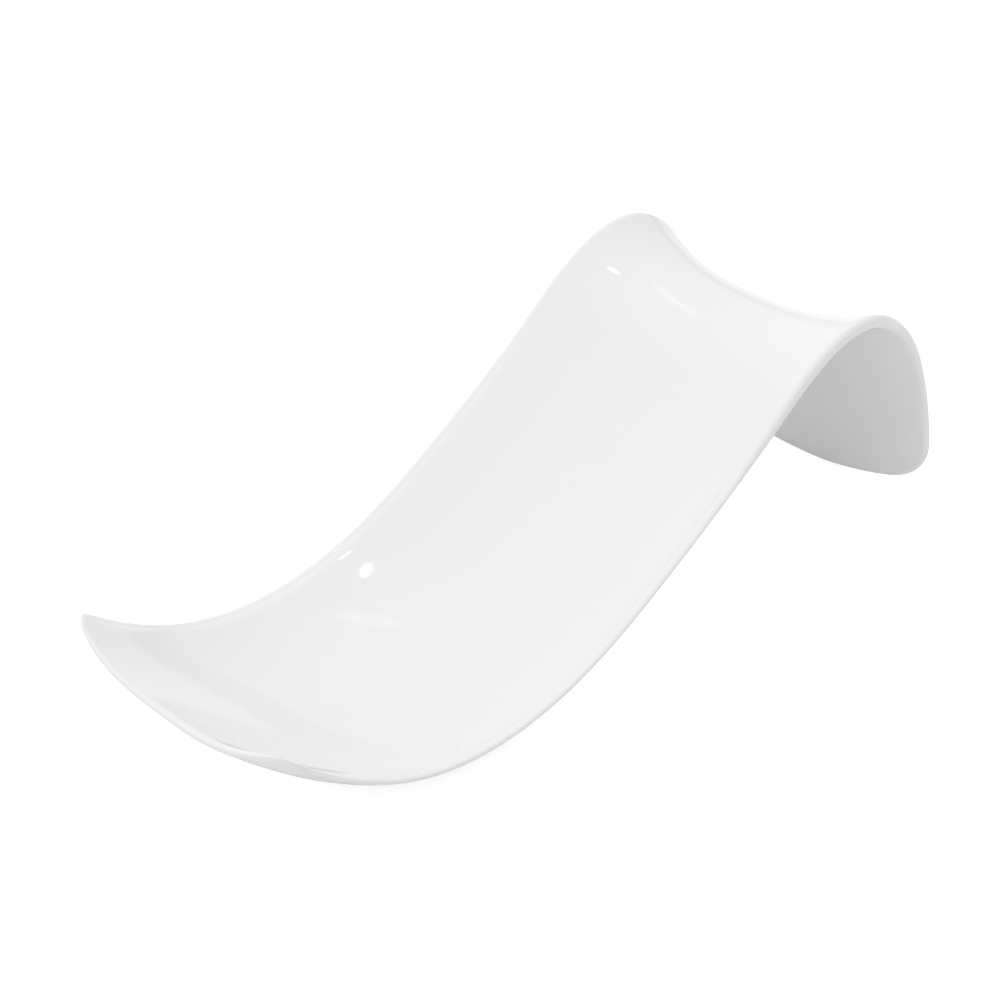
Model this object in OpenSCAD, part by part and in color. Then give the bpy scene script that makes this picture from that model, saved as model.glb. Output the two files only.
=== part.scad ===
// Knife rest: one leaf of glazed porcelain, dished across its width and bent like a wave.
// X runs along the leaf from the lip to the foot, Y runs across it, and Z is up from the table.
// The leaf stands on two lands, one under the dish and one on the edge of the foot.

/* [Leaf] */
// Length of the leaf along its middle line, from the lip to the end of the foot
leaf_length = 148.8; // [140:0.1:158]
// Thickness of the porcelain
wall = 1.9; // [1.6:0.1:2.8]
// Width of the leaf over its middle stretch
waist_width = 42.4; // [34:0.2:50]
// How much each side draws in at the lip
lip_narrowing = 3; // [0:0.1:4]
// Distance over which the narrowing at the lip dies away
lip_narrowing_run = 15.3; // [10:0.1:24]
// How much each side spreads at the foot
foot_flare = 0.5; // [0:0.1:4]
// Distance over which the spread at the foot dies away
foot_flare_run = 6.5; // [4:0.5:16]

/* [Ends] */
// Radius of the two corners of the lip
lip_corner = 2.1; // [1.6:0.1:6]
// Radius of the two corners of the foot
foot_corner = 4.9; // [3:0.1:9]
// How far the middle of the foot's edge stands out past its corners
foot_bulge = 3.3; // [1:0.1:4.5]

/* [Bends along the leaf] */
// Angle through which the dish turns the leaf upwards, in degrees
dish_turn = 72.9; // [64:0.1:80]
// Part of the dish's bend that would lie in front of the lip
dish_lead = 10.6; // [6:0.1:14]
// Length of the dish's bend
dish_run = 80.6; // [72:0.1:88]
// Angle of the long gentle bend up the ramp, in degrees
ramp_turn = 13.3; // [4:0.1:18]
// Distance from the lip to the start of the ramp's bend
ramp_start = 44.7; // [38:0.1:50]
// Length of the ramp's bend
ramp_run = 59.5; // [50:0.5:66]
// Angle through which the crest turns the leaf downwards, in degrees
crest_turn = 101.2; // [90:0.1:108]
// Distance from the lip to the start of the crest's bend
crest_start = 95.4; // [91:0.1:100]
// Length of the crest's bend
crest_run = 32.7; // [28:0.1:38]
// Angle through which the leg curls under towards the foot, in degrees
leg_turn = 18.9; // [0:0.1:30]
// Length of the leg's curl, which ends at the foot
leg_run = 26.8; // [20:0.1:32]

/* [Hollow across the leaf] */
// Depth of the hollow at the lip
lip_hollow = 3.24; // [1:0.01:5]
// Depth of the hollow in the dish
dish_hollow = 2.54; // [1:0.01:5]
// Depth of the hollow on the ramp
ramp_hollow = 3.01; // [1:0.01:5]
// Depth of the hollow at the top of the ramp, just before the crest
brow_hollow = 2.45; // [1:0.01:5]
// Depth of the hollow on the crest
crest_hollow = 4.45; // [2:0.01:6]
// Depth of the hollow at the foot
foot_hollow = 2.14; // [1:0.01:5]
// Fullness of the hollow at the lip and in the dish: 2 is a parabola, more is flatter in the middle
dish_power = 2.93; // [2:0.01:3.2]
// Fullness of the hollow from the ramp to the foot
ramp_power = 2.4; // [2:0.01:3.2]

/* [Lands] */
// Depth ground off where the leaf meets the table
land_depth = 0.25; // [0.15:0.05:0.4]

/* [Smoothness] */
// Facets across one half of the leaf
half_facets = 12; // [8:1:14]
// Facets along the leaf
long_facets = 72; // [48:2:80]
// Facets round the edge of the porcelain
rim_facets = 6; // [4:2:8]

/* [Hidden] */

glaze_colour = [0.94, 0.94, 0.94];

// Where along the leaf the hollow is set: lip, dish, ramp, brow, crest and foot
hollow_shares = [0, 0.18, 0.45, 0.68, 0.78, 1];
hollow_depths = [lip_hollow, dish_hollow, ramp_hollow, brow_hollow, crest_hollow, foot_hollow];
hollow_powers = [dish_power, dish_power, ramp_power, ramp_power, ramp_power, ramp_power];

corner_facets = 4;                          // facets in each half of a rounded corner
spine_facets = 400;                         // short steps that add up to the middle line
spine_step = leaf_length / spine_facets;
probe = spine_step / 4;                     // small distance for measuring a slope
stance_rounds = 6;                          // rounds that settle the leaf on the table

// A turn from 0 to 1 that starts and ends gently
function ease(t) = let (c = min(max(t, 0), 1)) c * c * (3 - 2 * c);

// Value at a share between two ends with their slopes, as a smooth cubic
function hermite(a, b, slope_a, slope_b, span, t) =
    a * (2 * t ^ 3 - 3 * t ^ 2 + 1) + slope_a * span * (t ^ 3 - 2 * t ^ 2 + t)
    + b * (3 * t ^ 2 - 2 * t ^ 3) + slope_b * span * (t ^ 3 - t ^ 2);

// Slope of a table at entry i, from its neighbours
function table_slope(shares, values, i) =
    let (a = max(i - 1, 0), b = min(i + 1, len(shares) - 1))
    (values[b] - values[a]) / (shares[b] - shares[a]);

// Value of a table at a share, on a smooth curve through its entries
function on_table(shares, values, share) =
    let (
        s = min(max(share, 0), 1),
        i = max([for (k = [0 : len(shares) - 2]) if (shares[k] <= s) k]),
        span = shares[i + 1] - shares[i]
    )
    hermite(values[i], values[i + 1], table_slope(shares, values, i),
        table_slope(shares, values, i + 1), span, (s - shares[i]) / span);

// Slope of the middle line in degrees at a distance d from the lip, before it stands on the table
function raw_slope(d) =
    dish_turn * ease((d + dish_lead) / dish_run)
    + ramp_turn * ease((d - ramp_start) / ramp_run)
    - crest_turn * ease((d - crest_start) / crest_run)
    - leg_turn * ease((d - leaf_length + leg_run) / leg_run);

// Middle line as points in X and Z, each step along the slope at its own middle
function step_vector(i, tilt) =
    let (a = raw_slope((i + 0.5) * spine_step) + tilt) spine_step * [cos(a), sin(a)];
function spine_line(tilt) =
    [for (i = 0, p = [0, 0]; i <= spine_facets; p = p + step_vector(i, tilt), i = i + 1) p];

// Tilt at which the lowest point of the dish and the end of the foot stand on one level
function stance(tilt, rounds) =
    rounds <= 0 ? tilt :
    let (
        line = spine_line(tilt),
        low_z = min([for (i = [0 : floor(spine_facets / 2)]) line[i][1]]),
        low_x = [for (p = line) if (p[1] == low_z) p[0]][0],
        foot = line[spine_facets]
    )
    stance(tilt - atan2(foot[1] - low_z, foot[0] - low_x), rounds - 1);

tilt = stance(-dish_turn / 2, stance_rounds);
spine = spine_line(tilt);
function slope(d) = raw_slope(d) + tilt;
function spine_point(d) =
    let (i = min(max(floor(d / spine_step), 0), spine_facets - 1), t = d / spine_step - i)
    spine[i] * (1 - t) + spine[i + 1] * t;

// Half of the leaf's width at a distance d from the lip
function half_width(d) =
    waist_width / 2 - lip_narrowing * exp(-d / lip_narrowing_run)
    + foot_flare * exp((d - leaf_length) / foot_flare_run);

// Point in the middle of the wall at d along the leaf and y across it, and the way up there
function wall_point(d, y) =
    let (
        p = spine_point(d),
        a = slope(d),
        share = d / leaf_length,
        rise = on_table(hollow_shares, hollow_depths, share)
            * (abs(y) / half_width(d)) ^ on_table(hollow_shares, hollow_powers, share)
    )
    [p[0] - sin(a) * rise, y, p[1] + cos(a) * rise];
function wall_up(d, y) =
    let (
        along = wall_point(d + probe, y) - wall_point(d - probe, y),
        across = wall_point(d, y + probe) - wall_point(d, y - probe),
        up = cross(along, across)
    )
    up / norm(up);

// Outline of the flat leaf for one half of its width, as [distance from the lip, distance across].
// Each corner is a quadratic curve in two halves, one for the end and one for the side.
function bend_point(a, corner, b, t) = a * (1 - t) ^ 2 + corner * 2 * t * (1 - t) + b * t ^ 2;
function first_half(a, corner, b) =
    [for (k = [1 : corner_facets]) bend_point(a, corner, b, k / corner_facets / 2)];
function second_half(a, corner, b) =
    [for (k = [0 : corner_facets]) bend_point(a, corner, b, 1 / 2 + k / corner_facets / 2)];

straight_facets = half_facets - corner_facets;
lip_half = half_width(0);
lip_from = [0, lip_half - lip_corner];
lip_to = [lip_corner, half_width(lip_corner)];
lip_edge = concat(
    [for (k = [0 : straight_facets]) lip_from * k / straight_facets],
    first_half(lip_from, [0, lip_half], lip_to));

foot_end = leaf_length - foot_bulge;
foot_half = half_width(foot_end);
function foot_edge_point(y) = [leaf_length - foot_bulge * (y / foot_half) ^ 2, y];
foot_from = foot_edge_point(foot_half - foot_corner);
foot_to = [foot_end - foot_corner, half_width(foot_end - foot_corner)];
foot_edge = concat(
    [for (k = [0 : straight_facets]) foot_edge_point(foot_from[1] * k / straight_facets)],
    first_half(foot_from, [foot_end, foot_half], foot_to));

side_facets = long_facets - 2 * corner_facets;
side_edge = concat(
    second_half(lip_from, [0, lip_half], lip_to),
    [for (k = [1 : side_facets - 1])
        let (d = lip_to[0] + (foot_to[0] - lip_to[0]) * k / side_facets) [d, half_width(d)]],
    [for (k = [corner_facets : -1 : 0])
        second_half(foot_from, [foot_end, foot_half], foot_to)[k]]);

// Blend between the middle line, the side, the lip and the foot; i counts across, j along
function flat_point(i, j) =
    let (
        a = lip_edge[i][1] / lip_edge[half_facets][1],
        side_start = side_edge[0],
        side_stop = side_edge[long_facets],
        b = (side_edge[j][0] - side_start[0]) / (side_stop[0] - side_start[0]),
        middle = [leaf_length * b, 0]
    )
    middle * (1 - a) + side_edge[j] * a + lip_edge[i] * (1 - b) + foot_edge[i] * b
    - side_start * a * (1 - b) - foot_edge[0] * (1 - a) * b - side_stop * a * b;

// The whole leaf as rows of [distance from the lip, distance across], from -Y to +Y
rows = 2 * half_facets;
flat_leaf = [for (i = [-half_facets : half_facets]) [for (j = [0 : long_facets])
    let (p = flat_point(abs(i), j)) [p[0], i < 0 ? -p[1] : p[1]]]];
middles = [for (row = flat_leaf) [for (p = row) wall_point(p[0], p[1])]];
ups = [for (row = flat_leaf) [for (p = row) wall_up(p[0], p[1])]];

// Round the outline once, counter-clockwise seen from above, as [row, place in the row]
rim_loop = concat(
    [for (j = [0 : long_facets]) [0, j]],
    [for (i = [1 : rows]) [i, long_facets]],
    [for (j = [long_facets - 1 : -1 : 0]) [rows, j]],
    [for (i = [rows - 1 : -1 : 1]) [i, 0]]);
rim_count = len(rim_loop);
function rim_middle(q) = let (at = rim_loop[(q + rim_count) % rim_count]) middles[at[0]][at[1]];
function rim_up(q) = let (at = rim_loop[q]) ups[at[0]][at[1]];
function rim_out(q) =
    let (out = cross(rim_middle(q + 1) - rim_middle(q - 1), rim_up(q))) out / norm(out);

// Points of the upper face, of the lower face, and of the rings that round the edge between them
top_points = [for (i = [0 : rows]) for (j = [0 : long_facets])
    middles[i][j] + ups[i][j] * wall / 2];
under_points = [for (i = [0 : rows]) for (j = [0 : long_facets])
    middles[i][j] - ups[i][j] * wall / 2];
rim_points = [for (k = [1 : rim_facets - 1]) for (q = [0 : rim_count - 1])
    let (a = 90 - 180 * k / rim_facets)
    rim_middle(q) + (rim_out(q) * cos(a) + rim_up(q) * sin(a)) * wall / 2];
leaf_points = concat(top_points, under_points, rim_points);

// Numbers of the points in that list
grid_count = (rows + 1) * (long_facets + 1);
function grid_at(face, i, j) = face * grid_count + i * (long_facets + 1) + j;
function rim_at(k, q) =
    let (turn = q % rim_count, at = rim_loop[turn])
    k == 0 ? grid_at(0, at[0], at[1])
    : k == rim_facets ? grid_at(1, at[0], at[1])
    : 2 * grid_count + (k - 1) * rim_count + turn;

// Two triangles of a four-sided facet, split the other way on the other half of the leaf
function split(a, b, c, d, flip) = flip ? [[a, b, d], [b, c, d]] : [[a, b, c], [a, c, d]];
top_faces = [for (i = [0 : rows - 1]) for (j = [0 : long_facets - 1])
    each split(grid_at(0, i, j), grid_at(0, i + 1, j), grid_at(0, i + 1, j + 1),
        grid_at(0, i, j + 1), i < half_facets)];
under_faces = [for (i = [0 : rows - 1]) for (j = [0 : long_facets - 1])
    each split(grid_at(1, i, j), grid_at(1, i, j + 1), grid_at(1, i + 1, j + 1),
        grid_at(1, i + 1, j), i < half_facets)];
rim_faces = [for (k = [0 : rim_facets - 1]) for (q = [0 : rim_count - 1])
    each split(rim_at(k, q), rim_at(k, q + 1), rim_at(k + 1, q + 1), rim_at(k + 1, q), false)];

// Place on the table: centred along X, with the lands on Z = 0
leaf_xs = [for (p = leaf_points) p[0]];
leaf_low = min([for (p = leaf_points) p[2]]);
leaf_place = [-(min(leaf_xs) + max(leaf_xs)) / 2, 0, -leaf_low - land_depth];

module leaf() {
    translate(leaf_place)
        polyhedron(leaf_points, concat(top_faces, under_faces, rim_faces));
}

// Everything below the table, which the grinding of the lands takes away
module below_table() {
    depth = 2 * wall;
    translate([-leaf_length / 2, -waist_width, -depth])
        cube([leaf_length, 2 * waist_width, depth]);
}

module porcelain_body() {
    color(glaze_colour)
        difference() {
            leaf();
            below_table();
        }
}

porcelain_body();
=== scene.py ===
import math

import bpy
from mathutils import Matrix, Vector


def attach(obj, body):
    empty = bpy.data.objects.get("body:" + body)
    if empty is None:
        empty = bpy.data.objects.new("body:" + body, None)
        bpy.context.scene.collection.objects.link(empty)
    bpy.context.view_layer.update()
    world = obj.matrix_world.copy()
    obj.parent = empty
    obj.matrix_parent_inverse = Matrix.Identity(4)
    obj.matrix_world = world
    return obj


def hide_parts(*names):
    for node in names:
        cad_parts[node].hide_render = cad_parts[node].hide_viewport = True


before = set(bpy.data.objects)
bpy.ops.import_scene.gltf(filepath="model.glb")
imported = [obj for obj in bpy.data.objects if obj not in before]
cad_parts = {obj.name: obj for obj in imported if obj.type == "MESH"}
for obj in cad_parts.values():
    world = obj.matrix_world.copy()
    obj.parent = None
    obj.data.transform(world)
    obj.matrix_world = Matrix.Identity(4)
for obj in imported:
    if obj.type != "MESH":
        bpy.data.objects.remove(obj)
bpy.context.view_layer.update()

mm = 0.001  # metres in a millimetre


# A socket of a node tree that can be added, multiplied and so on, each step being one node
class Field:
    def __init__(self, tree, socket):
        self.tree = tree
        self.socket = socket

    def step(self, operation, *others, kind="ShaderNodeMath"):
        node = self.tree.nodes.new(kind)
        node.operation = operation
        for place, value in enumerate((self, *others)):
            plug(self.tree, value, node.inputs[place])
        return Field(self.tree, node.outputs[0])

    def __add__(self, other):
        return self.step("ADD", other)

    def __sub__(self, other):
        return self.step("SUBTRACT", other)

    def __rsub__(self, other):
        return self.step("MULTIPLY", -1.0).step("ADD", other)

    def __mul__(self, other):
        return self.step("MULTIPLY", other)

    def __truediv__(self, other):
        return self.step("DIVIDE", other)

    def __pow__(self, other):
        return self.step("POWER", other)

    __radd__ = __add__
    __rmul__ = __mul__

    # This field times another, added to a third
    def timesPlus(self, factor, extra):
        return self.step("MULTIPLY_ADD", factor, extra)

    # From 0 at the start to the amount at the end, on a straight line or starting and ending gently
    def ramped(self, start, end, amount=1.0, interpolation="LINEAR"):
        node = self.tree.nodes.new("ShaderNodeMapRange")
        node.interpolation_type = interpolation
        for place, value in enumerate((self, start, end, 0.0, amount)):
            plug(self.tree, value, node.inputs[place])
        return Field(self.tree, node.outputs[0])

    def eased(self, start, end, amount=1.0):
        return self.ramped(start, end, amount, "SMOOTHSTEP")


def plug(tree, value, socket):
    if isinstance(value, Field):
        tree.links.new(value.socket, socket)
    else:
        socket.default_value = value


def vectorOf(tree, x, y, z):
    node = tree.nodes.new("ShaderNodeCombineXYZ")
    for place, value in enumerate((x, y, z)):
        plug(tree, value, node.inputs[place])
    return Field(tree, node.outputs[0])


def partsOf(tree, vector):
    node = tree.nodes.new("ShaderNodeSeparateXYZ")
    plug(tree, vector, node.inputs[0])
    return [Field(tree, output) for output in node.outputs]


def vectorStep(operation, first, *others):
    return first.step(operation, *others, kind="ShaderNodeVectorMath")


# Scale has an input of its own on the vector node
def scaled(vector, factor):
    node = vector.tree.nodes.new("ShaderNodeVectorMath")
    node.operation = "SCALE"
    plug(vector.tree, vector, node.inputs["Vector"])
    plug(vector.tree, factor, node.inputs["Scale"])
    return Field(vector.tree, node.outputs[0])


def turnedAboutY(vector, angle):
    node = vector.tree.nodes.new("ShaderNodeVectorRotate")
    node.rotation_type = "Y_AXIS"
    plug(vector.tree, vector, node.inputs["Vector"])
    plug(vector.tree, angle, node.inputs["Angle"])
    return Field(vector.tree, node.outputs[0])


# The first field where the flag is 1, the second where it is 0
def chosen(flag, first, second):
    return second + flag * (first - second)


# Sizes of the leaf: lengths in millimetres, turns in degrees, and powers, thinnings and counts
leafSizes = {
    "Leaf length": 148.8,
    "Wall": 1.9,
    "Waist width": 42.4,
    "Lip narrowing": 3.0,
    "Lip narrowing run": 15.3,
    "Foot flare": 0.5,
    "Foot flare run": 6.5,
    "Lip corner": 2.1,
    "Foot corner": 4.9,
    "Foot bow depth": 3.3,
    "Dish turn": 72.9,
    "Dish lead": 10.6,
    "Dish run": 80.6,
    "Ramp turn": 13.3,
    "Ramp start": 44.7,
    "Ramp run": 59.5,
    "Crest turn": 101.2,
    "Crest start": 95.4,
    "Crest run": 32.7,
    "Leg turn": 18.9,
    "Leg run": 26.8,
    "Lip hollow": 3.24,
    "Dish hollow": 2.54,
    "Ramp hollow": 3.01,
    "Brow hollow": 2.45,
    "Crest hollow": 4.45,
    "Foot hollow": 2.14,
    "Dish power": 2.93,
    "Ramp power": 2.4,
    "Land depth": 0.25,
    "Lip thinning": 0.42,  # share of the wall that is taken off at the lip
    "Lip thinning run": 16.0,
    "Under thinning": 0.55,  # share of half the wall taken off below, along the sides of dish and ramp
    "Under power": 8.0,  # how late across the leaf that sets in
    "Upper thinning": 0.4,  # the same above
    "Upper power": 30.0,
    "Inset": 0.03,  # keeps the smooth skin inside the facets of the frame's solid
    "Probe": 0.05,  # small step for measuring a slope
    # How the mesh is divided
    "Faces across": 64,
    "Faces along": 288,
    "Faces round the edge": 20,
    "Steps in the middle line": 400,
}
# Places along the leaf where its hollow is set, as shares of its length, with its depth and fullness there
hollowPlaces = {
    0.0: ("Lip hollow", "Dish power"),
    0.18: ("Dish hollow", "Dish power"),
    0.45: ("Ramp hollow", "Ramp power"),
    0.68: ("Brow hollow", "Ramp power"),
    0.78: ("Crest hollow", "Ramp power"),
    1.0: ("Foot hollow", "Ramp power"),
}
# Share of half the width, and of the length, that the faces of a rounded corner take
cornerShares = {"across": 0.25, "along": 0.05}
# Shares of the crest's run, before and after its start, over which the sides get back their full wall
crestShares = {"before": 0.5, "after": 0.3}


# Angle of the middle line at a distance from the lip, before the leaf is stood on the table
def rawSlope(size, distance):
    fromRamp = distance - size["Ramp start"]
    fromCrest = distance - size["Crest start"]
    fromFoot = distance - size["Leaf length"] + size["Leg run"]
    dish = (distance + size["Dish lead"]).eased(0.0, size["Dish run"], size["Dish turn"])
    ramp = fromRamp.eased(0.0, size["Ramp run"], size["Ramp turn"])
    crest = fromCrest.eased(0.0, size["Crest run"], size["Crest turn"])
    leg = fromFoot.eased(0.0, size["Leg run"], size["Leg turn"])
    return dish + ramp - crest - leg


def halfWidth(size, distance):
    lipFade = (distance * -1.0 / size["Lip narrowing run"]).step("EXPONENT")
    footRise = ((distance - size["Leaf length"]) / size["Foot flare run"]).step("EXPONENT")
    return size["Waist width"] * 0.5 - size["Lip narrowing"] * lipFade + size["Foot flare"] * footRise


# How the depth of the hollow and its fullness run between their places: what each adds, and its slopes
def hollowCurves(size):
    places = list(hollowPlaces)
    curves = []
    for which in (0, 1):
        values = [size[names[which]] for names in hollowPlaces.values()]
        slopes = []
        for place in range(len(places)):
            low, high = max(place - 1, 0), min(place + 1, len(places) - 1)
            slopes.append((values[high] - values[low]) / (places[high] - places[low]))
        rises = [high - low for low, high in zip(values, values[1:])]
        curves.append((values[0], rises, slopes))
    return curves


# Depth and fullness of the hollow at a distance from the lip, on smooth cubics through their places
def hollowAt(size, curves, distance):
    share = distance / size["Leaf length"]
    places = list(hollowPlaces)
    totals = [first for first, rises, slopes in curves]
    for place, (start, end) in enumerate(zip(places, places[1:])):
        t = share.ramped(start, end)
        eased = share.eased(start, end)
        arch = t * (t - 1.0) * (end - start)
        leaving, arriving = arch * (t - 1.0), arch * t
        for which, (first, rises, slopes) in enumerate(curves):
            total = eased.timesPlus(rises[place], totals[which])
            total = leaving.timesPlus(slopes[place], total)
            totals[which] = arriving.timesPlus(slopes[place + 1], total)
    return totals


# How far the leaf is hollowed up from its middle line at a place across it, and how fully
def riseAt(size, curves, distance, across):
    depth, power = hollowAt(size, curves, distance)
    share = across.step("ABSOLUTE") / halfWidth(size, distance)
    return depth * share ** power, power


# Point on a quadratic curve from start to end, drawn towards the corner
def bendPoint(start, corner, end, t):
    rest = 1.0 - t
    return [a * rest * rest + c * (2.0 * t * rest) + b * t * t for a, c, b in zip(start, corner, end)]


# Place on the flat leaf, as its distance from the lip and from the middle line
def flatPoint(size, alongShare, acrossShare):
    length, lipCorner, footCorner = size["Leaf length"], size["Lip corner"], size["Foot corner"]
    lipHalf = halfWidth(size, 0.0 * length)
    lipBend = ((0.0, lipHalf - lipCorner), (0.0, lipHalf), (lipCorner, halfWidth(size, lipCorner)))
    footEnd = length - size["Foot bow depth"]
    footHalf = halfWidth(size, footEnd)

    def footEdge(across):
        return (length - size["Foot bow depth"] * (across / footHalf) ** 2.0, across)

    footSide = footEnd - footCorner
    footBend = (footEdge(footHalf - footCorner), (footEnd, footHalf), (footSide, halfWidth(size, footSide)))

    straight = 1.0 - cornerShares["across"]
    isBent = acrossShare.step("GREATER_THAN", straight)
    straightShare = acrossShare.ramped(0.0, straight)
    bentShare = acrossShare.ramped(straight, 1.0, 0.5)
    lipStraight = (0.0, lipBend[0][1] * straightShare)
    footStraight = footEdge(footBend[0][1] * straightShare)
    lip = [chosen(isBent, *both) for both in zip(bendPoint(*lipBend, bentShare), lipStraight)]
    foot = [chosen(isBent, *both) for both in zip(bendPoint(*footBend, bentShare), footStraight)]

    end = cornerShares["along"]
    sideShare = alongShare.ramped(end, 1.0 - end)
    sideDistance = lipCorner + (footSide - lipCorner) * sideShare
    side = (sideDistance, halfWidth(size, sideDistance))
    lipShare = alongShare.ramped(0.0, end, 0.5) + 0.5
    footShare = 1.0 - alongShare.ramped(1.0 - end, 1.0, 0.5)
    atLip = alongShare.step("LESS_THAN", end)
    atFoot = alongShare.step("GREATER_THAN", 1.0 - end)
    side = [chosen(atLip, *both) for both in zip(bendPoint(*lipBend, lipShare), side)]
    side = [chosen(atFoot, *both) for both in zip(bendPoint(*footBend, footShare), side)]

    # Blend of the middle line, the side, the lip and the foot, less what they hold in common
    sideStart = bendPoint(*lipBend, 0.5)
    sideStop = bendPoint(*footBend, 0.5)
    a = lip[1] / sideStart[1]
    b = (side[0] - sideStart[0]) / (sideStop[0] - sideStart[0])
    middle = (length * b, 0.0)
    footMiddle = (length, 0.0)
    return [
        middle[n] * (1.0 - a) + side[n] * a + lip[n] * (1.0 - b) + foot[n] * b
        - sideStart[n] * a * (1.0 - b) - footMiddle[n] * (1.0 - a) * b - sideStop[n] * a * b
        for n in (0, 1)
    ]


def addNode(tree, kind, links=(), **settings):
    node = tree.nodes.new(kind)
    for name, value in settings.items():
        setattr(node, name, value)
    for name, value in dict(links).items():
        plug(tree, value, node.inputs[name])
    return node


def fieldOf(tree, kind, output=0, links=(), **settings):
    return Field(tree, addNode(tree, kind, links, **settings).outputs[output])


def moved(tree, geometry, place):
    node = addNode(tree, "GeometryNodeSetPosition", {"Geometry": geometry, "Position": place})
    return Field(tree, node.outputs[0])


# The kind of socket that a named size needs: whole numbers, turns, plain numbers and lengths
def socketKind(name):
    if name.startswith(("Faces", "Steps")):
        return "NodeSocketInt", "NONE"
    if name.endswith("turn"):
        return "NodeSocketFloat", "ANGLE"
    if name.endswith(("power", "thinning")):
        return "NodeSocketFloat", "NONE"
    return "NodeSocketFloat", "DISTANCE"


def socketValue(name, value):
    subtype = socketKind(name)[1]
    return {"ANGLE": math.radians(value), "DISTANCE": value * mm, "NONE": value}[subtype]


# Point of a curve at a distance along it
def pointOn(tree, curve, distance):
    node = addNode(tree, "GeometryNodeSampleCurve", mode="LENGTH")
    plug(tree, curve, node.inputs["Curves"])
    plug(tree, distance, node.inputs["Length"])
    return Field(tree, node.outputs["Position"])


# The middle line, in short steps, each along the slope at its own middle
def middleLine(tree, size):
    steps = size["Steps in the middle line"]
    stepLength = size["Leaf length"] / steps
    index = fieldOf(tree, "GeometryNodeInputIndex")
    slope = rawSlope(size, (index + 0.5) * stepLength)
    step = vectorOf(tree, stepLength * slope.step("COSINE"), 0.0, stepLength * slope.step("SINE"))
    reached = fieldOf(tree, "GeometryNodeAccumulateField", 1, {0: step}, data_type="FLOAT_VECTOR")
    line = fieldOf(tree, "GeometryNodeMeshLine", 0, {"Count": steps + 1.0})
    return moved(tree, line, reached)


# The tilt that stands the dish and the foot on one level
def standingTilt(tree, size, line, curve):
    footX, _, footZ = partsOf(tree, pointOn(tree, curve, size["Leaf length"]))
    lineX, _, lineZ = partsOf(tree, fieldOf(tree, "GeometryNodeInputPosition"))
    toFoot = (footZ - lineZ).step("ARCTAN2", footX - lineX)
    halfWay = size["Steps in the middle line"] * 0.5
    firstHalf = fieldOf(tree, "GeometryNodeInputIndex").step("LESS_THAN", halfWay)
    return fieldOf(tree, "GeometryNodeAttributeStatistic", "Max",
                   {"Geometry": line, "Selection": firstHalf, "Attribute": toFoot})


# A slab of the flat outline, whose thickness becomes the turn round the edge
def flatSlab(tree, size):
    slab = fieldOf(tree, "GeometryNodeMeshCube", 0, {
        "Size": (1.0, 1.0, 1.0),
        "Vertices X": size["Faces along"] + 1.0,
        "Vertices Y": size["Faces across"] + 1.0,
        "Vertices Z": size["Faces round the edge"] + 1.0,
    })
    cubeX, cubeY, cubeZ = partsOf(tree, fieldOf(tree, "GeometryNodeInputPosition"))
    flat = flatPoint(size, cubeX + 0.5, cubeY.step("ABSOLUTE") * 2.0)
    return moved(tree, slab, vectorOf(tree, flat[0], flat[1] * cubeY.step("SIGN"), cubeZ))


# From the middle of the wall to its skin. The wall thins to the lip, and to its sides as far as the crest.
def skinOffset(size, distance, across, turn, up, out):
    lipFade = (distance * -1.0 / size["Lip thinning run"]).step("EXPONENT")
    thinned = 1.0 - lipFade * size["Lip thinning"]
    crestStart, crestRun = size["Crest start"], size["Crest run"]
    fadeStart = crestStart - crestRun * crestShares["before"]
    beforeCrest = 1.0 - distance.eased(fadeStart, crestStart + crestRun * crestShares["after"])
    sideShare = across.step("ABSOLUTE") / halfWidth(size, distance)
    below = sideShare ** size["Under power"] * size["Under thinning"] * beforeCrest
    above = sideShare ** size["Upper power"] * size["Upper thinning"] * beforeCrest
    kept = 1.0 - (above + below) * 0.5
    upwards = (below - above) * 0.5 + turn.step("SINE") * kept
    offset = vectorStep("ADD", scaled(up, upwards * thinned), scaled(out, turn.step("COSINE")))
    return scaled(offset, size["Wall"] * 0.5 - size["Inset"])


# Hollows the slab across and gives it its wall, then bends it along the middle line
def bentLeaf(tree, size, slab, curve):
    distance, across, thickness = partsOf(tree, fieldOf(tree, "GeometryNodeInputPosition"))
    turn = thickness * math.pi

    # The glaze runs thin round the edge, which is kept as an attribute for its material
    slab = fieldOf(tree, "GeometryNodeStoreNamedAttribute", 0, {
        "Geometry": slab, "Name": "thinGlaze", "Value": turn.step("COSINE").ramped(0.0, 1.0)})

    # Slopes of the hollowed leaf at each point, along it and across it
    probe = size["Probe"]
    slope = rawSlope(size, distance)
    bend = (rawSlope(size, distance + probe) - rawSlope(size, distance - probe)) / (probe * 2.0)
    curves = hollowCurves(size)
    rise, power = riseAt(size, curves, distance, across)
    riseAhead, _ = riseAt(size, curves, distance + probe, across)
    riseBehind, _ = riseAt(size, curves, distance - probe, across)
    riseAlong = (riseAhead - riseBehind) / (probe * 2.0)
    riseAcross = rise * power / across
    stretch = 1.0 - rise * bend

    # Up from the wall and out from its edge, in the frame that follows the middle line
    up = vectorStep("NORMALIZE", vectorOf(tree, riseAlong * -1.0, riseAcross * stretch * -1.0, stretch))
    outX, outY, _ = partsOf(tree, fieldOf(tree, "GeometryNodeInputNormal"))
    edge = vectorOf(tree, outY * stretch * -1.0, outX, outX * riseAcross - outY * riseAlong)
    out = vectorStep("NORMALIZE", vectorStep("CROSS_PRODUCT", edge, up))
    skin = skinOffset(size, distance, across, turn, up, out)
    local = vectorStep("ADD", skin, vectorOf(tree, 0.0, across, rise))
    bent = vectorStep("ADD", pointOn(tree, curve, distance), turnedAboutY(local, slope * -1.0))
    return slab, bent


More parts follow.
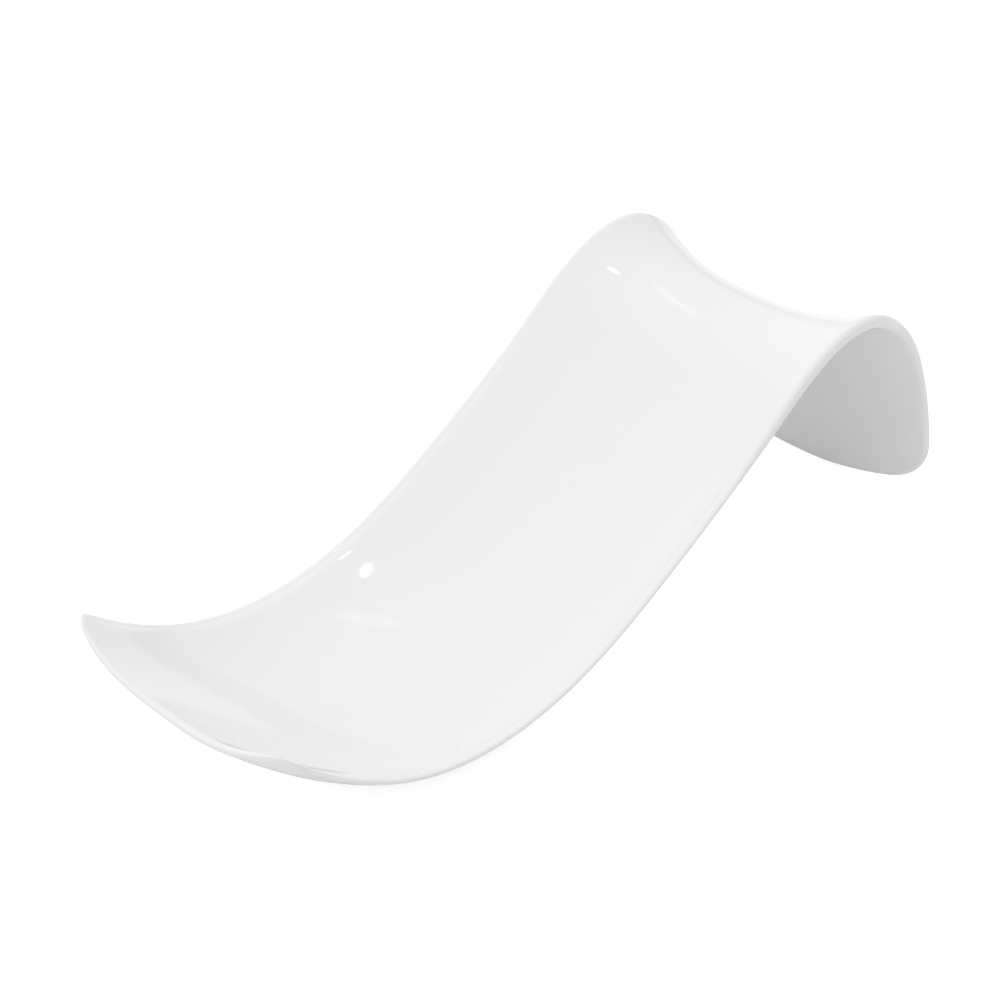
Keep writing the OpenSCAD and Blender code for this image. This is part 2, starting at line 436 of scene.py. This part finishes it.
# Centred along X and sunk by the depth of the lands, which are then cut flat
def stoodOnTable(tree, size, leaf):
    box = addNode(tree, "GeometryNodeBoundBox", {"Geometry": leaf})
    lowX, _, lowZ = partsOf(tree, Field(tree, box.outputs["Min"]))
    highX, _, _ = partsOf(tree, Field(tree, box.outputs["Max"]))
    x, y, z = partsOf(tree, fieldOf(tree, "GeometryNodeInputPosition"))
    placedZ = (z - lowZ - size["Land depth"]).step("MAXIMUM", 0.0)
    return moved(tree, leaf, vectorOf(tree, x - (lowX + highX) * 0.5, y, placedZ))


def leafTree(glaze):
    tree = bpy.data.node_groups.new("leafBuilder", "GeometryNodeTree")
    tree.interface.new_socket(name="Geometry", in_out="OUTPUT", socket_type="NodeSocketGeometry")
    for name in leafSizes:
        kind, subtype = socketKind(name)
        socket = tree.interface.new_socket(name=name, in_out="INPUT", socket_type=kind)
        if subtype != "NONE":
            socket.subtype = subtype
    inputs = tree.nodes.new("NodeGroupInput")
    size = {name: Field(tree, inputs.outputs[name]) for name in leafSizes}

    line = middleLine(tree, size)
    curve = fieldOf(tree, "GeometryNodeMeshToCurve", 0, {0: line})
    tilt = standingTilt(tree, size, line, curve)
    slab, bent = bentLeaf(tree, size, flatSlab(tree, size), curve)
    leaf = stoodOnTable(tree, size, moved(tree, slab, turnedAboutY(bent, tilt)))

    leaf = fieldOf(tree, "GeometryNodeSetShadeSmooth", 0, {"Geometry": leaf})
    leaf = fieldOf(tree, "GeometryNodeRealizeInstances", 0, {"Geometry": leaf})
    finished = addNode(tree, "GeometryNodeSetMaterial", {"Geometry": leaf})
    finished.inputs["Material"].default_value = glaze
    result = tree.nodes.new("NodeGroupOutput")
    tree.links.new(finished.outputs[0], result.inputs[0])
    return tree


# Runs the tree on an empty mesh, and keeps what it makes as a plain mesh
def porcelainLeaf(glaze):
    leaf = bpy.data.objects.new("porcelain_leaf", bpy.data.meshes.new("porcelain_leaf"))
    bpy.context.scene.collection.objects.link(leaf)
    builder = leaf.modifiers.new("leafBuilder", "NODES")
    builder.node_group = leafTree(glaze)
    for item in builder.node_group.interface.items_tree:
        if item.in_out == "INPUT":
            builder[item.identifier] = socketValue(item.name, leafSizes[item.name])
    built = leaf.evaluated_get(bpy.context.evaluated_depsgraph_get())
    made = bpy.data.meshes.new_from_object(built)
    leaf.modifiers.clear()
    leaf.data = made
    made.name = "porcelain_leaf"
    print("stage: leaf made,", len(made.vertices), "vertices,", len(made.polygons), "faces")
    return leaf


# The first colour where the share is 0, the second where it is 1
def blended(tree, share, first, second):
    node = tree.nodes.new("ShaderNodeMix")
    node.data_type = "RGBA"
    for place, value in {0: share, 6: first, 7: second}.items():  # 6 and 7 are its two colours
        plug(tree, value, node.inputs[place])
    return Field(tree, node.outputs[2])


# Soft noise from 0 to 1, in spots of about the given size
def noise(tree, place, spot, detail=2.0):
    links = {"Vector": place, "Scale": 1.0 / (spot * mm), "Detail": detail}
    return fieldOf(tree, "ShaderNodeTexNoise", 0, links)


# White glaze over porcelain, and the bare ground clay where the leaf stands; lengths in millimetres
glazeValues = {
    "thick": (0.868, 0.871, 0.873),
    "thin": (0.885, 0.878, 0.866),
    "drift size": 18.0,  # breadth of the faint changes of shade
    "drift thinning": 0.5,
    "edge thinning": 0.6,
    "roughness": (0.035, 0.075),  # where the gloss is brightest and dullest
    "cloud size": 6.0,  # breadth of the duller and brighter clouds in the gloss
    "cloud ends": (0.35, 0.65),  # noise at which a cloud is brightest and dullest
    "wave size": 5.5,
    "wave depth": 0.004,
    "peel size": 0.9,
    "peel depth": 0.0003,
    "ior": 1.5,
    # Ground clay
    "clay": (0.79, 0.77, 0.735),
    "clay roughness": 0.62,
    "clay height": 0.07,  # bare up to here above the table
    "clay ragged": 0.06,  # how far that line wanders up and down
    "clay ragged size": 0.8,
    "clay fade": 0.03,
    "grain size": 0.12,
    "grain depth": 0.01,
    "grain detail": 3.0,
}


def glazeMaterial():
    material = bpy.data.materials.new("white_glaze")
    material.use_nodes = True
    tree = material.node_tree
    shader = tree.nodes["Principled BSDF"]
    shader.inputs["IOR"].default_value = glazeValues["ior"]
    place = fieldOf(tree, "ShaderNodeTexCoord", "Object")
    thinGlaze = fieldOf(tree, "ShaderNodeAttribute", "Fac", attribute_name="thinGlaze")

    # Bare where the grinding wheel took the glaze off, up to a slightly ragged line
    height = partsOf(tree, place)[2] / mm
    ragged = (noise(tree, place, glazeValues["clay ragged size"]) - 0.5) * glazeValues["clay ragged"]
    top = glazeValues["clay height"]
    bare = 1.0 - (height + ragged).ramped(top, top + glazeValues["clay fade"])

    drift = noise(tree, place, glazeValues["drift size"])
    thinness = drift * glazeValues["drift thinning"] + thinGlaze * glazeValues["edge thinning"]
    thinness = thinness.ramped(0.0, 1.0)
    shade = blended(tree, thinness, (*glazeValues["thick"], 1.0), (*glazeValues["thin"], 1.0))
    plug(tree, blended(tree, bare, shade, (*glazeValues["clay"], 1.0)), shader.inputs["Base Color"])

    bright, dull = glazeValues["roughness"]
    clouds = noise(tree, place, glazeValues["cloud size"]).ramped(*glazeValues["cloud ends"])
    gloss = clouds * (dull - bright) + bright
    plug(tree, gloss + bare * (glazeValues["clay roughness"] - dull), shader.inputs["Roughness"])

    # Slow waves and a fine peel in the glaze, and grain in the bare clay
    waves = noise(tree, place, glazeValues["wave size"], detail=0.0) * (glazeValues["wave depth"] * mm)
    peel = noise(tree, place, glazeValues["peel size"], detail=0.0) * (glazeValues["peel depth"] * mm)
    grain = noise(tree, place, glazeValues["grain size"], glazeValues["grain detail"])
    grain = grain * (glazeValues["grain depth"] * mm)
    relief = (waves + peel) * (1.0 - bare) + grain * bare
    bump = addNode(tree, "ShaderNodeBump", {"Height": relief, "Strength": 1.0, "Distance": 1.0})
    tree.links.new(bump.outputs[0], shader.inputs["Normal"])
    return material


floorValues = {
    "half": 1.5,  # metres
    "colour": (0.87, 0.87, 0.87),
    "whiteness": 0.6,  # what the camera alone sees on top of the lit floor
    "whiteness in gloss": 0.15,  # what gloss and glass see on top of it
}


# 1 for rays straight from the camera, and 1 for those that reached this by a mirror or through glass
def lookingRays(tree):
    rays = addNode(tree, "ShaderNodeLightPath")
    names = ("Is Camera Ray", "Is Glossy Ray", "Is Transmission Ray")
    camera, glossy, through = (Field(tree, rays.outputs[name]) for name in names)
    return camera, glossy.step("MAXIMUM", through)


def paleFloor():
    half = floorValues["half"]
    mesh = bpy.data.meshes.new("pale_floor")
    corners = [(-half, -half, 0), (half, -half, 0), (half, half, 0), (-half, half, 0)]
    mesh.from_pydata(corners, [], [(0, 1, 2, 3)])
    floor = bpy.data.objects.new("pale_floor", mesh)
    bpy.context.scene.collection.objects.link(floor)
    material = bpy.data.materials.new("pale_floor")
    material.use_nodes = True
    tree = material.node_tree
    tree.nodes.clear()
    paper = addNode(tree, "ShaderNodeBsdfDiffuse", {"Color": (*floorValues["colour"], 1.0)})
    camera, mirrored = lookingRays(tree)
    seen = camera * floorValues["whiteness"] + mirrored * floorValues["whiteness in gloss"]
    glow = addNode(tree, "ShaderNodeEmission", {"Strength": seen})
    both = addNode(tree, "ShaderNodeAddShader")
    output = addNode(tree, "ShaderNodeOutputMaterial")
    tree.links.new(paper.outputs[0], both.inputs[0])
    tree.links.new(glow.outputs[0], both.inputs[1])
    tree.links.new(both.outputs[0], output.inputs["Surface"])
    mesh.materials.append(material)


# Where the photograph was taken from, in millimetres
cameraValues = {
    "place": (-166.405, -165.311, 172.581),
    "forward": (0.58255, 0.59511, -0.55362),
    "lens": 77.739,
    "sensor": 36.0,
    "clip": (10.0, 20000.0),
}


def studioCamera():
    data = bpy.data.cameras.new("studio_camera")
    data.sensor_width = cameraValues["sensor"]
    data.lens = cameraValues["lens"]
    camera = bpy.data.objects.new("studio_camera", data)
    camera.location = Vector(cameraValues["place"]) * mm
    camera.rotation_euler = Vector(cameraValues["forward"]).to_track_quat("-Z", "Y").to_euler()
    data.clip_start, data.clip_end = (end * mm for end in cameraValues["clip"])
    bpy.context.scene.collection.objects.link(camera)
    bpy.context.scene.camera = camera


# The sky's level from each way, where 1 is white
skyValues = {
    "all round": 0.71,
    "overhead": 0.13,  # added evenly with the height
    "zenith": 0.47,  # added straight above, and soon gone to the sides
    "zenith power": 4.0,
    "towards the foot": -0.135,  # added along X, and taken off the other way
    "towards the left": 0.205,  # the same along Y
    "whiteness in gloss": 0.25,  # share of the white backdrop that gloss and glass see in the sky
}
# Lamps, with places and sizes in millimetres; the level is how bright a lamp's face is, where 1 is white
lampValues = {
    "softbox": {
        "shape": "RECTANGLE", "size": (2000, 1000), "level": 0.2,
        "middle": (681, 667, 646), "long side": (0.876, -0.482), "tilt": 45,
    },
    "patch": {
        "shape": "ELLIPSE", "size": (220, 100), "level": 0.85,
        "middle": (342, 585, 1000), "long side": (-0.42, 0.91), "tilt": 0,
    },
    "spot": {
        "shape": "ELLIPSE", "size": (88, 40), "level": 10.0,
        "middle": (77, 295, 1000), "long side": (0.78, 0.62), "tilt": 0,
    },
}
shapeFill = {"RECTANGLE": 1.0, "ELLIPSE": math.pi / 4}  # share of its box that a lamp's face fills


def studioSky():
    world = bpy.data.worlds.new("studio")
    world.use_nodes = True
    tree = world.node_tree
    sky = tree.nodes["Background"]
    x, y, z = partsOf(tree, fieldOf(tree, "ShaderNodeTexCoord", "Generated"))
    up = z.step("MAXIMUM", 0.0)
    zenith = up ** skyValues["zenith power"]
    level = up * skyValues["overhead"] + zenith * skyValues["zenith"] + skyValues["all round"]
    level = level + x * skyValues["towards the foot"] + y * skyValues["towards the left"]
    camera, mirrored = lookingRays(tree)
    seen = camera + mirrored * skyValues["whiteness in gloss"]
    plug(tree, level + seen * (1.0 - level), sky.inputs["Strength"])
    sky.inputs["Color"].default_value = (1.0, 1.0, 1.0, 1.0)
    bpy.context.scene.world = world


def studioLamps():
    for name, lamp in lampValues.items():
        wide, deep = (side * mm for side in lamp["size"])
        data = bpy.data.lights.new(name, "AREA")
        data.shape = lamp["shape"]
        data.size, data.size_y = wide, deep
        data.energy = lamp["level"] * math.pi * wide * deep * shapeFill[lamp["shape"]]
        light = bpy.data.objects.new(name, data)
        light.location = Vector(lamp["middle"]) * mm
        heading = math.atan2(lamp["long side"][1], lamp["long side"][0])
        light.rotation_euler = (-math.radians(lamp["tilt"]), 0.0, heading)
        bpy.context.scene.collection.objects.link(light)


bpy.context.scene.view_settings.view_transform = "Standard"
studioCamera()
studioSky()
studioLamps()
paleFloor()
print("stage: studio set,", len(lampValues), "lamps")
leaf = porcelainLeaf(glazeMaterial())
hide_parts("porcelain_body")
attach(leaf, "root")
